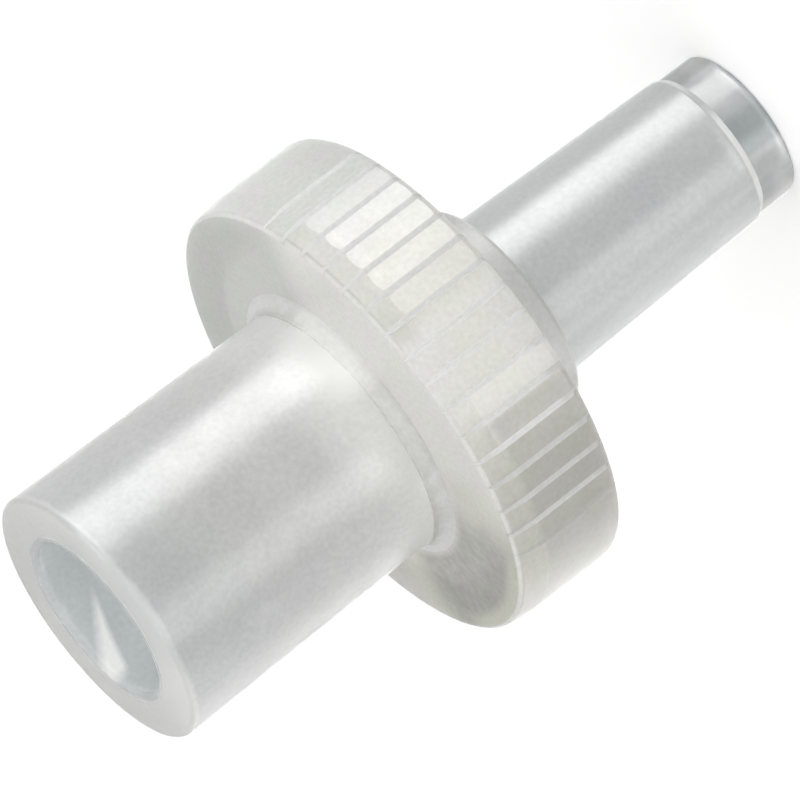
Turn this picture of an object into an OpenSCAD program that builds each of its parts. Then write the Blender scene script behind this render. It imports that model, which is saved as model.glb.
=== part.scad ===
// Small in-line syringe filter: a female luer inlet, a membrane between two
// moulded housings, and a grooved ring moulded over both flanges.
// The part stands on its outlet tip. Z = 0 is the tip's end face, +Z runs up the
// flow axis to the inlet mouth. All sizes are in millimetres.

/* [Outlet taper] */
// Diameter of the male luer cone where it would meet the end face
male_d = 4; // [3.93:0.01:4.03]
// Diameter lost per millimetre of length on both luer cones (6 percent)
luer_taper = 0.06; // [0.05:0.005:0.07]
// Length of the outlet tube from the end face to the shoulder
outlet_len = 7.55; // [7:0.05:12]
// Height of the narrow, polished tip below the witness step
tip_h = 1.06; // [0.6:0.02:1.6]
// Height of the small bevel between the cone and the polished tip
step_h = 0.2; // [0.1:0.02:0.3]
// Radial depth of that bevel
step_depth = 0.07; // [0.03:0.01:0.12]
// Edge radius round the tip's end face
tip_edge_r = 0.16; // [0.05:0.01:0.25]
// Diameter of the fluid passage through the outlet
lumen_d = 1.9; // [1.2:0.1:2.4]

/* [Outlet shoulder] */
// Diameter of the shoulder at its free end
shoulder_d = 5.7; // [5.2:0.05:6.4]
// Diameter lost on the shoulder from the ring to its free end
shoulder_draft = 0.4; // [0:0.05:0.6]
// Length of shoulder that shows behind the ring
shoulder_len = 1.56; // [0.8:0.02:2.4]
// Bevel on the shoulder's free edge
shoulder_bevel = 0.12; // [0.04:0.02:0.3]

/* [Grip ring] */
// Diameter across the flats of the ring
ring_d = 12.06; // [11:0.02:14]
// Length of the ring along the axis
ring_len = 3.12; // [2.6:0.02:4]
// Number of flats, with one groove between each pair
flat_count = 50; // [40:1:56]
// Width of each groove at the surface
groove_w = 0.16; // [0.1:0.02:0.3]
// Depth of each groove
groove_depth = 0.24; // [0.1:0.02:0.3]
// Angle from the mould's parting plane up to which the ring stays smooth
smooth_arc = 27; // [15:1:34]
// Angle from the parting plane from which the grooves have their full depth
full_arc = 43; // [36:1:60]
// Length of the tapered band at the ring's inlet end
band_len = 0.74; // [0.3:0.02:1]
// Radial depth of that tapered band
band_depth = 0.07; // [0.04:0.01:0.12]
// Edge radius at the ring's inlet end
front_edge_r = 0.18; // [0.05:0.01:0.25]
// Edge radius at the ring's outlet end
back_edge_r = 0.26; // [0.1:0.02:0.4]
// Radius of the fillet by which the ring runs up the inlet tube
root_fillet = 0.34; // [0.2:0.02:0.5]
// Thickness that the ring keeps at the top of that fillet
root_lip = 0.04; // [0.04:0.01:0.08]

/* [Inlet tube] */
// Length of the inlet tube that shows in front of the ring
inlet_len = 7.86; // [6:0.02:10]
// Outer diameter of the inlet tube at its mouth
inlet_d = 6.84; // [6.4:0.02:7.4]
// Diameter lost on the inlet tube from the mouth to the ring
inlet_draft = 0.26; // [0:0.02:0.4]
// Diameter of the female luer cone at the mouth
female_d = 4.28; // [4.27:0.005:4.315]
// Depth of the female luer socket
socket_depth = 8.1; // [7.5:0.1:9]
// Bevel at the lip of the socket
lip_bevel = 0.1; // [0.04:0.02:0.2]
// Edge radius round the outside of the mouth
mouth_edge_r = 0.12; // [0.05:0.01:0.25]
// Diameter of the passage from the socket to the membrane chamber
feed_d = 1.9; // [1.2:0.1:2.4]

/* [Flanges and membrane] */
// Diameter of both housing flanges, inside the ring
flange_d = 9.4; // [8.6:0.1:10.2]
// Thickness of each flange
flange_t = 0.84; // [0.7:0.02:1]
// Diameter of the filter membrane
membrane_d = 6.6; // [6:0.1:7]
// Thickness of the filter membrane
membrane_t = 0.16; // [0.1:0.02:0.24]
// Width of the rim by which the membrane is clamped
clamp_w = 0.7; // [0.4:0.1:0.9]
// Height of the flow space above the membrane
chamber_h = 0.22; // [0.1:0.02:0.3]
// Height and width of the locating rim between the flanges
rim_size = 0.3; // [0.2:0.02:0.4]
// Number of drain channels under the membrane
drain_count = 8; // [4:1:10]
// Width of each drain channel
drain_w = 0.3; // [0.2:0.02:0.4]
// Depth of each drain channel
drain_depth = 0.24; // [0.1:0.02:0.3]

/* [Clearances] */
// Gap between moulded pieces that are set in one another
fit_gap = 0.02; // [0.01:0.01:0.05]

/* [Hidden] */
$fn = 96;

// Room added where one shape cuts through another
through = 1;
// Straight pieces that stand for each rounded edge
edge_steps = 5;

// Heights along the flow axis, from the outlet tip up
shoulder_z = outlet_len;
ring_back_z = shoulder_z + shoulder_len;
ring_front_z = ring_back_z + ring_len;
mouth_z = ring_front_z + inlet_len;
parting_z = (ring_back_z + ring_front_z) / 2;
outlet_flange_z = parting_z - flange_t;
inlet_flange_z = parting_z + flange_t;
membrane_z = parting_z - membrane_t;
socket_z = mouth_z - socket_depth;

// Radii
ring_r = ring_d / 2;
flange_r = flange_d / 2;
membrane_r = membrane_d / 2;
chamber_r = membrane_r - clamp_w;
inlet_mouth_r = inlet_d / 2;
inlet_root_r = inlet_mouth_r - inlet_draft / 2;
shoulder_end_r = shoulder_d / 2;
shoulder_root_r = shoulder_end_r + shoulder_draft / 2;
locating_r = (membrane_r + flange_r) / 2 - rim_size / 2;

// Radius of the male luer cone at height z, and of the female one at height z
function male_r(z) = (male_d + luer_taper * z) / 2;
function female_r(z) = (female_d - luer_taper * (mouth_z - z)) / 2;

// Points of a rounded edge of radius r about centre c, from angle a to angle b
function round_edge(c, r, a, b) =
    [for (i = [0 : edge_steps]) let (t = a + (b - a) * i / edge_steps)
        [c[0] + r * cos(t), c[1] + r * sin(t)]];

// Narrow tip, witness bevel and luer cone of the outlet, as a radius-height outline
tip_r = male_r(tip_h) - step_depth;
outlet_outline = concat(
    [[0, 0]],
    round_edge([tip_r - tip_edge_r, tip_edge_r], tip_edge_r, -90, 0),
    [[tip_r, tip_h],
     [male_r(tip_h + step_h), tip_h + step_h],
     [male_r(shoulder_z), shoulder_z],
     [shoulder_end_r - shoulder_bevel, shoulder_z],
     [shoulder_end_r, shoulder_z + shoulder_bevel],
     [shoulder_root_r, ring_back_z],
     [shoulder_root_r, outlet_flange_z],
     [flange_r, outlet_flange_z],
     [flange_r, parting_z],
     [0, parting_z]]);

// Flange and drafted tube of the inlet
inlet_outline = concat(
    [[0, parting_z + fit_gap],
     [flange_r, parting_z + fit_gap],
     [flange_r, inlet_flange_z],
     [inlet_root_r, inlet_flange_z],
     [inlet_root_r, ring_front_z]],
    round_edge([inlet_mouth_r - mouth_edge_r, mouth_z - mouth_edge_r], mouth_edge_r, 0, 90),
    [[0, mouth_z]]);

// Female luer socket with its bevelled lip
socket_outline = [
    [0, socket_z],
    [female_r(socket_z), socket_z],
    [female_r(mouth_z - lip_bevel), mouth_z - lip_bevel],
    [female_r(mouth_z) + lip_bevel, mouth_z],
    [female_r(mouth_z) + lip_bevel, mouth_z + through],
    [0, mouth_z + through]];

// Outside of the ring: rounded back edge, straight side, tapered band, front edge and
// the fillet against the inlet tube
ring_corner_r = ring_r / cos(180 / flat_count);
band_z = ring_front_z - band_len;
ring_front_r = ring_corner_r - band_depth;
root_lip_r = inlet_root_r + fit_gap + root_lip;
ring_envelope = concat(
    [[0, ring_back_z]],
    round_edge([ring_corner_r - back_edge_r, ring_back_z + back_edge_r], back_edge_r, -90, 0),
    [[ring_corner_r, band_z]],
    round_edge([ring_front_r - front_edge_r, ring_front_z - front_edge_r], front_edge_r, 0, 90),
    round_edge([root_lip_r + root_fillet, ring_front_z + root_fillet], root_fillet, -90, -180),
    [[0, ring_front_z + root_fillet]]);

// Room inside the ring for the shoulder, both flanges and the inlet tube
ring_cavity = [
    [0, ring_back_z - through],
    [shoulder_root_r + fit_gap, ring_back_z - through],
    [shoulder_root_r + fit_gap, outlet_flange_z - fit_gap],
    [flange_r + fit_gap, outlet_flange_z - fit_gap],
    [flange_r + fit_gap, inlet_flange_z + fit_gap],
    [inlet_root_r + fit_gap, inlet_flange_z + fit_gap],
    [inlet_root_r + fit_gap, ring_front_z + through],
    [0, ring_front_z + through]];

// Share of the full depth that a groove at angle a has. The mould parts along Y = 0, so grooves
// would lock in it there: they run out towards it, and the faintest are left off.
function groove_share(a) =
    let (share = (abs(sin(a)) - sin(smooth_arc)) / (sin(full_arc) - sin(smooth_arc)))
    share < 0.3 ? 0 : min(1, share);

// Flat, groove, flat, groove ... round both sides of the ring, as angles and radii. Where there are
// no grooves the outline stands clear of the ring, which stays round there.
half_pitch = 180 / flat_count;
groove_half = asin(groove_w / 2 / ring_r);
flat_corner_r = ring_r / cos(half_pitch - groove_half);
grooved_ring = [for (i = [0 : flat_count - 1]) let (a = i * 2 * half_pitch, share = groove_share(a))
    each share == 0
        ? [[a - half_pitch / 2, ring_r + through], [a + half_pitch / 2, ring_r + through]]
        : [[a - groove_half, flat_corner_r],
           [a, ring_r - groove_depth * share],
           [a + groove_half, flat_corner_r]]];

function polar(p) = [p[1] * cos(p[0]), p[1] * sin(p[0])];

module inlet_housing() {
    color([0.86, 0.88, 0.88, 0.75])
    difference() {
        rotate_extrude() polygon(inlet_outline);
        rotate_extrude() polygon(socket_outline);
        // Feed passage, flow chamber and the groove for the locating rim
        translate([0, 0, parting_z - through])
            cylinder(d = feed_d, h = socket_z - parting_z + 2 * through);
        translate([0, 0, parting_z - through])
            cylinder(r = chamber_r, h = through + fit_gap + chamber_h);
        translate([0, 0, parting_z - through])
            ring_tube(locating_r - fit_gap, locating_r + rim_size + fit_gap,
                through + rim_size + 2 * fit_gap);
    }
}

module outlet_housing() {
    color([0.85, 0.87, 0.88, 0.75])
    difference() {
        union() {
            rotate_extrude() polygon(outlet_outline);
            // Locating rim, sunk into the flange that carries it
            translate([0, 0, parting_z - rim_size])
                ring_tube(locating_r, locating_r + rim_size, 2 * rim_size);
        }
        translate([0, 0, -through]) cylinder(d = lumen_d, h = mouth_z);
        // Membrane seat
        translate([0, 0, membrane_z]) cylinder(r = membrane_r + fit_gap, h = membrane_t + through);
        drain_channels();
    }
}

// Radial channels and one ring channel that lead the filtrate to the passage
module drain_channels() {
    translate([0, 0, membrane_z - drain_depth]) {
        for (i = [0 : drain_count - 1])
            rotate(i * 360 / drain_count)
                translate([0, -drain_w / 2, 0]) cube([chamber_r, drain_w, drain_depth + through]);
        ring_tube(chamber_r - drain_w, chamber_r, drain_depth + through);
    }
}

module sealing_ring() {
    color([0.88, 0.88, 0.84, 0.9])
    difference() {
        intersection() {
            rotate_extrude() polygon(ring_envelope);
            translate([0, 0, ring_back_z - through])
                linear_extrude(ring_len + 2 * through)
                    polygon([for (p = grooved_ring) polar(p)]);
        }
        rotate_extrude() polygon(ring_cavity);
    }
}

module filter_membrane() {
    color([0.97, 0.97, 0.95])
    translate([0, 0, membrane_z]) cylinder(r = membrane_r, h = membrane_t);
}

module ring_tube(r_in, r_out, h) {
    difference() {
        cylinder(r = r_out, h = h);
        translate([0, 0, -through]) cylinder(r = r_in, h = h + 2 * through);
    }
}

inlet_housing();
outlet_housing();
sealing_ring();
filter_membrane();
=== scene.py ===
"""Looks for the syringe filter: natural polypropylene housings, a milky moulded grip ring and a white
membrane, on a plain pale floor in soft studio light. Lengths are in metres, in the part's own frame:
the outlet tip stands on Z = 0 and the flow axis runs up +Z to the inlet mouth. The solids are shown
as they are, and only get their materials here."""
import math

import bpy
from mathutils import Matrix, Vector

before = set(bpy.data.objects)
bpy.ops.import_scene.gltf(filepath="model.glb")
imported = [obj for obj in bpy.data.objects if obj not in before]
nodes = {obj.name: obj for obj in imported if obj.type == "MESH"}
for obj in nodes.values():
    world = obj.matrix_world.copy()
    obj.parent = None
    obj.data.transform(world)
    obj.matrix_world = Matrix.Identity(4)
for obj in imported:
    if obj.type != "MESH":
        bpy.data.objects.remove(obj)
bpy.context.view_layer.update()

MM = 0.001

# ---------------------------------------------------------------- node trees


class Nodes:
    """A node tree, with short ways to add and join nodes. A value given to them may be another
    node's output, which is joined, or a plain number or colour, which is set."""

    def __init__(self, tree):
        self.tree = tree
        tree.nodes.clear()

    def add(self, kind, **settings):
        made = self.tree.nodes.new(kind)
        for key, value in settings.items():
            setattr(made, key, value)
        return made

    def join(self, source, target):
        self.tree.links.new(source, target)

    def feed(self, value, socket):
        if isinstance(value, bpy.types.NodeSocket):
            self.join(value, socket)
        else:
            socket.default_value = value

    def calc(self, operation, first, second=0.0):
        made = self.add("ShaderNodeMath", operation=operation)
        self.feed(first, made.inputs[0])
        self.feed(second, made.inputs[1])
        return made.outputs["Value"]

    def product(self, *factors):
        result = factors[0]
        for factor in factors[1:]:
            result = self.calc("MULTIPLY", result, factor)
        return result

    def vector(self, operation, first, second=(0, 0, 0)):
        made = self.add("ShaderNodeVectorMath", operation=operation)
        self.feed(first, made.inputs[0])
        self.feed(second, made.inputs[1])
        return made.outputs

    def rescale(self, source, low=0, high=1, to_low=0, to_high=1, **settings):
        """The source's range from low to high, drawn out to that from to_low to to_high."""
        made = self.add("ShaderNodeMapRange", **settings)
        self.feed(source, made.inputs["Value"])
        self.feed(low, made.inputs["From Min"])
        self.feed(high, made.inputs["From Max"])
        self.feed(to_low, made.inputs["To Min"])
        self.feed(to_high, made.inputs["To Max"])
        return made.outputs["Result"]

    def seen_directly(self):
        """1 for camera, mirror and glass rays, 0 for rays that only gather light."""
        path = self.add("ShaderNodeLightPath").outputs
        either = self.calc("MAXIMUM", path["Is Camera Ray"], path["Is Glossy Ray"])
        return self.calc("MAXIMUM", either, path["Is Transmission Ray"])


class Shader(Nodes):
    """A material's node tree. The places that it measures are in the part's own frame."""

    def __init__(self, name):
        self.material = bpy.data.materials.new(name)
        self.material.use_nodes = True
        super().__init__(self.material.node_tree)
        self.output = self.add("ShaderNodeOutputMaterial")
        self.place = self.add("ShaderNodeTexCoord").outputs["Object"]

    def noise(self, size, detail=3.0, stretch=(1, 1, 1)):
        """Noise whose features are about size metres across, drawn out along an axis by stretch."""
        mapping = self.add("ShaderNodeMapping")
        mapping.inputs["Scale"].default_value = [1 / (size * s) for s in stretch]
        self.join(self.place, mapping.inputs["Vector"])
        made = self.add("ShaderNodeTexNoise")
        made.inputs["Scale"].default_value = 1.0
        made.inputs["Detail"].default_value = detail
        self.join(mapping.outputs["Vector"], made.inputs["Vector"])
        return made.outputs["Fac"]

    def spread(self, source, low, high):
        """The usual range of a noise, 0.3 to 0.7, drawn out to that from low to high."""
        return self.rescale(source, 0.3, 0.7, low, high)

    def blend(self, factor, first, second, blend_type="MIX"):
        """From first to second, each a tone or a socket, as factor goes from 0 to 1."""
        made = self.add("ShaderNodeMix", data_type="RGBA", blend_type=blend_type)
        for name, tone in (("A", first), ("B", second)):
            self.feed((*tone, 1) if isinstance(tone, tuple) else tone, made.inputs[name])
        self.feed(factor, made.inputs["Factor"])
        return made.outputs["Result"]

    def bump(self, height, depth, base=None):
        """Bumps of the given depth, laid over those of base."""
        made = self.add("ShaderNodeBump")
        made.inputs["Strength"].default_value = 1.0
        made.inputs["Distance"].default_value = depth
        self.join(height, made.inputs["Height"])
        if base:
            self.join(base, made.inputs["Normal"])
        return made.outputs["Normal"]

    def axes(self):
        made = self.add("ShaderNodeSeparateXYZ")
        self.join(self.place, made.inputs[0])
        return made.outputs

    def from_axis(self):
        """The place with its height taken out."""
        return self.vector("MULTIPLY", self.place, (1, 1, 0))["Vector"]

    def radius(self):
        return self.vector("LENGTH", self.from_axis())["Value"]

    def up(self, start, end):
        """0 to 1 as the height goes from start to end, in millimetres."""
        return self.rescale(self.axes()["Z"], start * MM, end * MM)

    def out(self, start, end):
        """0 to 1 as the distance from the axis goes from start to end, in millimetres."""
        return self.rescale(self.radius(), start * MM, end * MM)

    def facing(self, azimuth, full, none):
        """1 within full degrees of an azimuth round the axis, 0 beyond none degrees from it."""
        a = math.radians(azimuth)
        unit = self.vector("NORMALIZE", self.from_axis())["Vector"]
        along = self.vector("DOT_PRODUCT", unit, (math.cos(a), math.sin(a), 0))["Value"]
        return self.rescale(along, math.cos(math.radians(none)), math.cos(math.radians(full)),
                            interpolation_type="SMOOTHSTEP")


# ---------------------------------------------------------------- places on the part
# Each is a function that gives 1 at the place and 0 elsewhere, with soft edges.


def toward(azimuth, full, none):
    return lambda s: s.facing(azimuth, full, none)


def witness_line(s):
    """The bevel between the outlet's cone and its polished tip."""
    return s.product(s.up(1.04, 1.08), s.up(1.24, 1.18))


# The front of the witness line, where it is given a painted glow.
def witness_painted_glow(s):
    return s.product(witness_line(s), s.facing(-112, 28, 45))


def shoulder(s):
    """The step between the outlet's cone and the ring."""
    return s.up(7.5, 7.6)


def socket_wall(s):
    return s.product(s.out(2.35, 2.3), s.up(11, 11.5))


# The upper socket wall, darkened to a teal grey as painted shade inside the bore.
def socket_mouth_painted_shade(s):
    return s.product(socket_wall(s), s.up(17, 19))


def socket_painted_glint(s):
    """A painted glint, standing in for a lamp's reflection: a soft bright streak that runs aslant down
    one side of the socket and widens towards the mouth.
    """
    x, y, z = s.axes()
    bearing = s.calc("ARCTAN2", y, x)
    lean = s.calc("MULTIPLY", s.calc("SUBTRACT", z, 19.75 * MM), math.radians(62) / MM)
    middle = s.calc("SUBTRACT", s.calc("SUBTRACT", bearing, lean), math.radians(118))
    half_width = s.calc("MULTIPLY", s.calc("SUBTRACT", z, 19.05 * MM), math.radians(20) / MM)
    past_edge = s.calc("SUBTRACT", s.calc("ABSOLUTE", middle), half_width)
    inside = s.rescale(past_edge, math.radians(7), math.radians(-6))
    before_end = s.rescale(bearing, math.radians(135), math.radians(124))
    return s.product(socket_wall(s), s.up(19.0, 19.25), before_end, inside)


def rim(s):
    """The mouth's edge, with an uneven lower limit."""
    uneven = s.spread(s.noise(0.9 * MM), -0.06 * MM, 0.06 * MM)
    return s.rescale(s.calc("ADD", s.axes()["Z"], uneven), 19.86 * MM, 20.04 * MM)


# The front half of the rim, where it is given a brighter painted glow.
def rim_front_painted_glow(s):
    return s.product(rim(s), s.facing(-115, 25, 80))


def root(s):
    """The inlet tube near the ring, where the plastic is thickest; it is whitened and glows there as
    painted light, which lifts the shade by the ring.
    """
    return s.up(14.6, 12.5)


# Painted highlight: the key's highlight carried on down to the fillet as a glow.
def root_painted_highlight(s):
    return s.product(s.up(13.5, 12.7), s.facing(-59, 10, 25))


def ring_side(s):
    return s.out(5.85, 5.95)


def on_flats(s):
    return s.product(ring_side(s), s.up(11.8, 11.35))


def on_band(s):
    """The flats' tapered front ends."""
    return s.product(ring_side(s), s.up(11.35, 11.8))


def on_front(s):
    """The ring's front face."""
    return s.product(s.out(5.95, 5.85), s.up(12.0, 12.15))


# Painted light: the ring's flats round azimuth -94°, paler as if lit by a broad lamp.
def flats_painted_light(s):
    return s.product(ring_side(s), s.facing(-94, 9, 17))


def flats_painted_shade(s):
    """Painted shade: the darkest stretch of the ring's side, which ends sharply at a groove."""
    return s.product(on_flats(s), s.facing(-158, 48, 50.5), s.facing(-130, 22, 45))


# Painted shade on the flats' tapered front ends, round azimuth -145°.
def band_painted_shade(s):
    return s.product(on_band(s), s.facing(-145, 14, 45))


# Painted shade: the tapered front ends darkened where the key's highlight falls on the flats.
def band_in_key_painted_shade(s):
    return s.product(on_band(s), s.facing(-63, 16, 24))


# Painted shade: the front face's +X side, darker and cooler.
def front_side_painted_shade(s):
    return s.product(on_front(s), s.facing(10, 42, 58))


def front_painted_shade_patch(s):
    """A patch of painted shade on the front face, uneven and not quite as far in as the tube."""
    uneven = s.spread(s.noise(0.25 * MM, 3.0), 0.72, 1.0)
    return s.product(on_front(s), s.facing(-176, 22, 42), uneven, s.out(3.6, 3.9))


# Painted shade on the front face's outer margin round azimuth -172°, tinted green.
def front_margin_painted_shade(s):
    return s.product(on_front(s), s.out(5.35, 5.65), s.facing(-172, 14, 32))


def front_painted_reflection(s):
    """Painted reflection: the front face lightened and glowing towards azimuth -85° and all round the
    tube, standing in for the lit tube's reflection in it.
    """
    by_tube = s.product(s.out(4.8, 3.7), s.facing(-100, 30, 60), 0.6)
    return s.product(on_front(s), s.calc("MAXIMUM", s.facing(-85, 30, 54), by_tube))


# Painted shade: the grooves darkened at both ends on the ring's darker side.
def groove_ends_painted_shade(s):
    ends = s.calc("MAXIMUM", s.up(11.5, 12.1), s.up(9.7, 9.45))
    return s.product(ends, s.facing(-128, 22, 34))


def grooves_and_front_edge_painted_light(s):
    """Everything on the ring's side that lies below its flats, which taper at the front; it is whitened
    as painted light, for the bright groove lines and front edge.
    """
    flats = s.calc("SUBTRACT", 6.03 * MM, s.product(s.up(11.49, 12.23), 0.07 * MM))
    sunk = s.rescale(s.calc("SUBTRACT", flats, s.radius()), 0.015 * MM, 0.04 * MM)
    return s.product(s.out(5.85, 5.88), s.up(9.3, 9.5), sunk)


# ---------------------------------------------------------------- materials

WHITE = (1, 1, 1, 1)
# A near-white tone, used as painted light on bright edges, lines and the inlet tube's root.
PAINTED_LIGHT_WHITE = (0.97, 0.97, 0.955)


def polypropylene(name, pale, dim, clear, rough, bleed=3 * MM, milky=1.0, coat=0.5, coat_rough=0.3,
                  speckle=0.1, grain=0.002 * MM, cast=0.0, accents=(), polished=(), lit=()):
    """Natural polypropylene: pale and dim are its two tones, clear is how much light passes straight
    through, rough its range of roughness, bleed how far light spreads inside it, milky how much of
    it does, speckle how dark its finest specks are, grain the depth of its finest bumps, and cast
    how far it turns pink and green in places. Each accent is a tone, and many accents are painted
    light and shade. Each polished place is a roughness, and each lit place is the strength of a
    painted glow, an emission that stands in for light, with a place on the part."""
    s = Shader(name)
    p = s.add("ShaderNodeBsdfPrincipled")
    s.join(p.outputs["BSDF"], s.output.inputs["Surface"])

    tone = s.blend(s.spread(s.noise(1.4 * MM, 6.0), 0, 1), dim, pale)
    for colour, where in accents:
        tone = s.blend(where(s), tone, colour)
    if cast:
        hue = s.blend(s.spread(s.noise(1.1 * MM, 3.0), 0, 1), (1.0, 0.94, 0.93), (0.95, 1.0, 0.86))
        tone = s.blend(cast, tone, hue, "MULTIPLY")
    specks = s.spread(s.noise(0.13 * MM, 2.0), 0, speckle)
    s.join(s.blend(specks, tone, (0, 0, 0)), p.inputs["Base Color"])

    matt = s.spread(s.noise(0.5 * MM, 3.0), *rough)
    for gloss, where in polished:
        matt = s.rescale(where(s), to_low=matt, to_high=gloss)
    s.join(matt, p.inputs["Roughness"])

    # Painted glow: emission that brightens each lit place, standing in for light.
    painted_glow = 0.0
    for strength, where in lit:
        painted_glow = s.calc("ADD", painted_glow, s.product(where(s), strength))
    if lit:
        p.inputs["Emission Color"].default_value = (1.0, 1.0, 0.97, 1)
        s.join(painted_glow, p.inputs["Emission Strength"])

    p.inputs["IOR"].default_value = 1.49
    p.inputs["Transmission Weight"].default_value = clear
    p.inputs["Subsurface Weight"].default_value = milky
    p.inputs["Subsurface Radius"].default_value = (1.0, 1.0, 0.95)
    p.inputs["Subsurface Scale"].default_value = bleed
    p.inputs["Coat Weight"].default_value = coat
    p.inputs["Coat Roughness"].default_value = coat_rough
    p.inputs["Coat IOR"].default_value = 1.5
    fine = s.bump(s.noise(0.12 * MM, 2.0), grain)
    normal = s.bump(s.noise(0.9 * MM, 2.0, (1, 1, 3)), 0.006 * MM, fine)
    s.join(normal, p.inputs["Normal"])
    s.join(normal, p.inputs["Coat Normal"])
    return s.material


def bonded_walls(brightness):
    """The walls inside the bonds, which glow as painted light. No gap is there on the real part, so
    light carries on through them: each of the two walls is made as bright as the plastic round it."""
    s = Shader("bonded_walls")
    glow = s.add("ShaderNodeEmission")
    glow.inputs["Color"].default_value = (1.0, 1.0, 0.98, 1)
    glow.inputs["Strength"].default_value = brightness
    s.join(glow.outputs[0], s.output.inputs["Surface"])
    return s.material


def membrane():
    """White, matt and microporous."""
    s = Shader("membrane")
    p = s.add("ShaderNodeBsdfPrincipled")
    s.join(p.outputs["BSDF"], s.output.inputs["Surface"])
    s.join(s.blend(s.noise(0.15 * MM), (0.86, 0.86, 0.83), (0.93, 0.93, 0.91)), p.inputs["Base Color"])
    p.inputs["Roughness"].default_value = 0.9
    s.join(s.bump(s.noise(0.04 * MM), 0.004 * MM), p.inputs["Normal"])
    return s.material


inlet_plastic = polypropylene(
    "inlet_polypropylene", (0.81, 0.81, 0.80), (0.71, 0.72, 0.715), clear=0.65, rough=(0.30, 0.38),
    speckle=0.13,
    # Painted shade: a darker band on the inlet beyond the key's highlight, round azimuth -30°.
    accents=(((0.71, 0.715, 0.71), toward(-30, 8, 22)),
             # Painted light: the mouth's rim whitened here, and given a glow below.
             (PAINTED_LIGHT_WHITE, rim),
             # Painted light by the ring: the inlet root whitened here, and glowing below.
             (PAINTED_LIGHT_WHITE, root),
             # Painted shade inside the socket.
             ((0.55, 0.60, 0.61), socket_mouth_painted_shade),
             # Painted glint in the socket: paler here, and glowing below.
             ((0.88, 0.89, 0.88), socket_painted_glint)),
    polished=((0.08, socket_wall),),
    # Painted glows, all standing in for light: rim, rim front, root, the root's highlight and the
    # socket's glint.
    lit=((0.06, rim), (0.07, rim_front_painted_glow), (0.07, root), (0.14, root_painted_highlight), (0.12, socket_painted_glint)))

outlet_plastic = polypropylene(
    "outlet_polypropylene", (0.77, 0.78, 0.78), (0.69, 0.71, 0.715), clear=0.65, rough=(0.29, 0.35),
    coat=0.9, coat_rough=0.34, speckle=0.13,
    # Painted shade round -30° and -162°, beside the highlight, and a painted highlight stripe round
    # -124°.
    accents=(((0.56, 0.57, 0.57), toward(-30, 8, 22)),
             ((0.55, 0.555, 0.555), toward(-162, 5, 15)),
             ((0.88, 0.885, 0.88), toward(-124, 4, 14)),
             # The bevel's whiter tone: partly its real frosted seam, partly painted light.
             (PAINTED_LIGHT_WHITE, witness_line),
             ((0.80, 0.80, 0.77), shoulder)),
    # Painted glow along the front of the witness line.
    lit=((0.2, witness_painted_glow),))

tip_plastic = polypropylene(
    "tip_polypropylene", (0.66, 0.675, 0.68), (0.56, 0.58, 0.59), clear=0.7, rough=(0.28, 0.3),
    coat=0.45,
    # Painted shade: a dark teal band round -100° and darker edges round -18°, -6° and -168°; round -124°
    # a painted highlight stripe.
    accents=(((0.40, 0.45, 0.455), toward(-100, 11, 22)),
             ((0.38, 0.385, 0.38), toward(-18, 16, 24)),
             ((0.24, 0.245, 0.24), toward(-6, 5, 16)),
             ((0.35, 0.35, 0.345), toward(-168, 12, 28)),
             ((0.88, 0.89, 0.89), toward(-124, 4, 14))))

ring_plastic = polypropylene(
    "ring_polypropylene", (0.78, 0.775, 0.74), (0.66, 0.66, 0.62), clear=0.3, rough=(0.32, 0.42),
    coat=0.8, coat_rough=0.38, speckle=0.12, grain=0.0012 * MM, cast=0.8,
    # The ring's +X side turns a cooler, slightly darker grey, and its front face there gets painted
    # shade.
    accents=(((0.70, 0.715, 0.72), toward(5, 50, 72)),
             ((0.64, 0.655, 0.66), front_side_painted_shade),
             # Painted light on the flats round -94°.
             ((0.90, 0.885, 0.87), flats_painted_light),
             # Painted shade on the ring's side.
             ((0.47, 0.465, 0.445), flats_painted_shade),
             # Painted shade on the tapered ends.
             ((0.56, 0.555, 0.53), band_painted_shade),
             # Painted shade on the tapered ends by the highlight.
             ((0.60, 0.61, 0.58), band_in_key_painted_shade),
             # Painted shade on the front face.
             ((0.31, 0.305, 0.295), front_painted_shade_patch),
             # Painted shade, tinted green, on the front face's margin.
             ((0.60, 0.62, 0.53), front_margin_painted_shade),
             # Painted reflection on the front face.
             ((0.90, 0.895, 0.88), front_painted_reflection),
             # Painted light on the grooves and the ring's front edge.
             (PAINTED_LIGHT_WHITE, grooves_and_front_edge_painted_light)),
    # A painted glow on the same place.
    lit=((0.045, front_painted_reflection),))

# The fillet's paler tones lift the shade of its crease, and its glow round -60° is a painted highlight:
# all painted light.
fillet_plastic = polypropylene(
    "fillet_polypropylene", (0.87, 0.87, 0.85), (0.79, 0.79, 0.77), clear=0.3, rough=(0.32, 0.42),
    milky=0.0,
    lit=((0.12, toward(-60, 10, 28)),))

# Painted light: the grooves paler than the ring and glowing round -115° and -94°, with painted shade
# round -132° and -144° and at their ends.
groove_plastic = polypropylene(
    "groove_polypropylene", (0.86, 0.86, 0.84), (0.80, 0.80, 0.78), clear=0.0, rough=(0.4, 0.5),
    bleed=6 * MM, coat=0.0,
    accents=(((0.71, 0.71, 0.69), toward(-132, 12, 18)),
             ((0.62, 0.615, 0.59), groove_ends_painted_shade),
             ((0.47, 0.465, 0.445), toward(-144, 2, 4))),
    lit=((0.05, toward(-115, 2, 8)), (0.05, toward(-94, 9, 17))))

bonded = bonded_walls(brightness=0.6)

# ---------------------------------------------------------------- which faces get which material
# Each function is given a face's distance from the axis and its height, in millimetres, and the
# share of its normal that points away from the axis.


def tip_faces(r, z, outward):
    return z < 1.05


def fillet_faces(r, z, outward):
    return r < 3.72 and z > 12.235


def groove_faces(r, z, outward):
    return r > 5.5 and 9.4 < z < 12.15 and outward < 0.8


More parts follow.
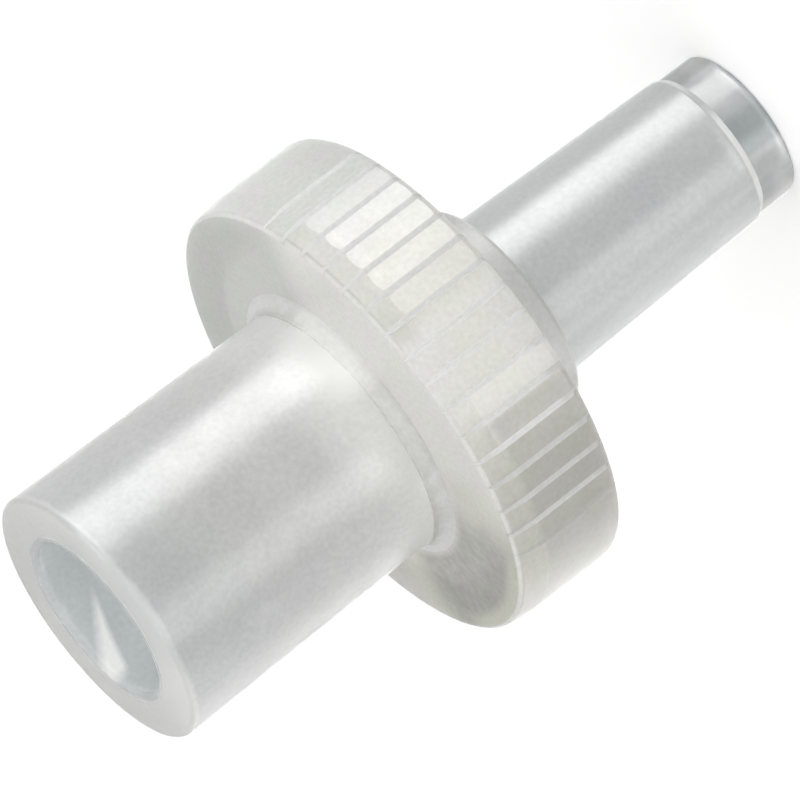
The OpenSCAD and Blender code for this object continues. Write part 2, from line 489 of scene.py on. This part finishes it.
def inlet_bond(r, z, outward):
    return r > 2.7 and z < 12.25


def outlet_bond(r, z, outward):
    return r > 2.7 and z > 9.2


def ring_bond(r, z, outward):
    return r < 5 and 9.2 < z < 12.2 or r < 3.33 and 12.25 < z < 12.5


def dress(node, material, *others):
    """Gives a node its material. Each of the others is a material and the function that picks its
    faces."""
    mesh = nodes[node].data
    mesh.materials.clear()
    mesh.materials.append(material)
    for index, (other, where) in enumerate(others, 1):
        mesh.materials.append(other)
        for face in mesh.polygons:
            x, y, z = face.center
            r = math.hypot(x, y)
            outward = (face.normal.x * x + face.normal.y * y) / max(r, MM)
            if where(r / MM, z / MM, outward):
                face.material_index = index


dress("inlet_housing", inlet_plastic, (bonded, inlet_bond))
dress("outlet_housing", outlet_plastic, (tip_plastic, tip_faces), (bonded, outlet_bond))
dress("sealing_ring", ring_plastic, (fillet_plastic, fillet_faces), (groove_plastic, groove_faces),
      (bonded, ring_bond))
dress("filter_membrane", membrane())

# ---------------------------------------------------------------- floor and world


def floor(half_size=1.5, glow=0.45):
    """A pale floor, which glows only where it is seen, so that it is white there and keeps the
    part's shadow."""
    mesh = bpy.data.meshes.new("floor")
    mesh.from_pydata([(x * half_size, y * half_size, 0) for x, y in ((-1, -1), (1, -1), (1, 1), (-1, 1))],
                     [], [(0, 1, 2, 3)])
    made = bpy.data.objects.new("floor", mesh)
    bpy.context.scene.collection.objects.link(made)
    s = Shader("floor")
    diffuse = s.add("ShaderNodeBsdfDiffuse")
    diffuse.inputs["Color"].default_value = (0.82, 0.82, 0.82, 1)
    lift = s.add("ShaderNodeEmission")
    lift.inputs["Color"].default_value = WHITE
    s.join(s.product(s.seen_directly(), glow), lift.inputs["Strength"])
    total = s.add("ShaderNodeAddShader")
    s.join(diffuse.outputs[0], total.inputs[0])
    s.join(lift.outputs[0], total.inputs[1])
    s.join(total.outputs[0], s.output.inputs["Surface"])
    mesh.materials.append(s.material)
    return made


def studio_world(horizon, zenith, bearing, lean):
    """White where it is seen. Where it only lights the object, a dome that is dimmer overhead and
    brighter by the share lean towards the bearing."""
    world = bpy.data.worlds.new("studio")
    world.use_nodes = True
    s = Nodes(world.node_tree)
    background = s.add("ShaderNodeBackground")
    s.join(background.outputs[0], s.add("ShaderNodeOutputWorld").inputs["Surface"])
    direction = s.add("ShaderNodeTexCoord").outputs["Generated"]
    parts = s.add("ShaderNodeSeparateXYZ")
    s.join(direction, parts.inputs[0])
    dome = s.rescale(parts.outputs["Z"], 0, 1, horizon, zenith)
    b = math.radians(bearing)
    side = s.vector("DOT_PRODUCT", direction, (lean * math.cos(b), lean * math.sin(b), 0))["Value"]
    light = s.product(dome, s.calc("ADD", side, 1.0))
    s.join(s.rescale(s.seen_directly(), to_low=light, to_high=1.0), background.inputs["Strength"])
    bpy.context.scene.world = world


ground = floor()
studio_world(horizon=1.19, zenith=0.78, bearing=-80, lean=0.2)

# ---------------------------------------------------------------- lamps


def softbox(name, azimuth, elevation, width, height, radiance, distance=0.6):
    """A rectangular lamp at the given bearing from the part, which it faces. width and height are
    the angles that it fills, and radiance is how bright it looks, where 1 is white."""
    lamp = bpy.data.lights.new(name, "AREA")
    lamp.shape = "RECTANGLE"
    lamp.size = 2 * distance * math.tan(math.radians(width / 2))
    lamp.size_y = 2 * distance * math.tan(math.radians(height / 2))
    lamp.energy = radiance * math.pi * lamp.size * lamp.size_y
    made = bpy.data.objects.new(name, lamp)
    bpy.context.scene.collection.objects.link(made)
    a, e = math.radians(azimuth), math.radians(elevation)
    away = Vector((math.cos(a) * math.cos(e), math.sin(a) * math.cos(e), math.sin(e)))
    made.location = Vector((0, 0, 11 * MM)) + away * distance
    made.rotation_euler = away.to_track_quat("Z", "Y").to_euler()
    return made


def linked(name, piece, state):
    """A collection that names one piece, for a lamp's linking."""
    made = bpy.data.collections.new(name)
    made.objects.link(piece)
    made.collection_objects[0].light_linking.link_state = state
    return made


def low_lamps():
    """Lamps below the floor, which lets them through. They only make the long highlights on the
    part's upright sides, where a camera that looks a little down sees the reflection of what is low.
    The ring has a wider key of its own, which its flats catch one by one."""
    key, *rest = [softbox(name, azimuth, -18.6, width, 15, radiance)
                  for name, azimuth, width, radiance in (("key", -27.5, 40, 10),
                                                         ("fill", -130, 30, 4),
                                                         ("rim", 135, 30, 0.7),
                                                         ("back", 90, 32, 1.2),
                                                         ("key_on_ring", -33, 60, 9))]
    ring = nodes["sealing_ring"]
    rest[-1].light_linking.receiver_collection = linked("key_on_ring_lights", ring, "INCLUDE")
    key.light_linking.receiver_collection = linked("key_lights", ring, "EXCLUDE")
    through = linked("lets_low_lamps_through", ground, "EXCLUDE")
    for lamp in (key, *rest):
        lamp.visible_diffuse = False
        lamp.visible_transmission = False
        lamp.light_linking.blocker_collection = through


low_lamps()
softbox("front", azimuth=-65, elevation=12, width=30, height=20, radiance=3)

# ---------------------------------------------------------------- camera


def camera():
    """The camera looks a little down on the inlet end, rolled so that the flow axis runs
    from the lower left to the upper right of the picture."""
    elevation, roll = math.radians(18.61), math.radians(-127.67)
    distance, picture_width = 0.400, 18.69 * MM
    right_of_middle, above_middle = 0.53 * MM, 0.75 * MM
    back = Vector((0, -math.cos(elevation), math.sin(elevation)))
    level = Vector((1, 0, 0))
    upright = back.cross(level)
    right = level * math.cos(roll) + upright * math.sin(roll)
    up = upright * math.cos(roll) - level * math.sin(roll)
    aim = Vector((0, 0, 10 * MM)) - right * right_of_middle - up * above_middle
    data = bpy.data.cameras.new("camera")
    data.sensor_width = 36
    data.lens = data.sensor_width * distance / picture_width
    data.clip_start = 0.01
    made = bpy.data.objects.new("camera", data)
    bpy.context.scene.collection.objects.link(made)
    made.matrix_world = Matrix.Translation(aim + back * distance) @ Matrix(
        (right, up, back)).transposed().to_4x4()
    bpy.context.scene.camera = made


camera()
bpy.context.scene.view_settings.view_transform = "Standard"
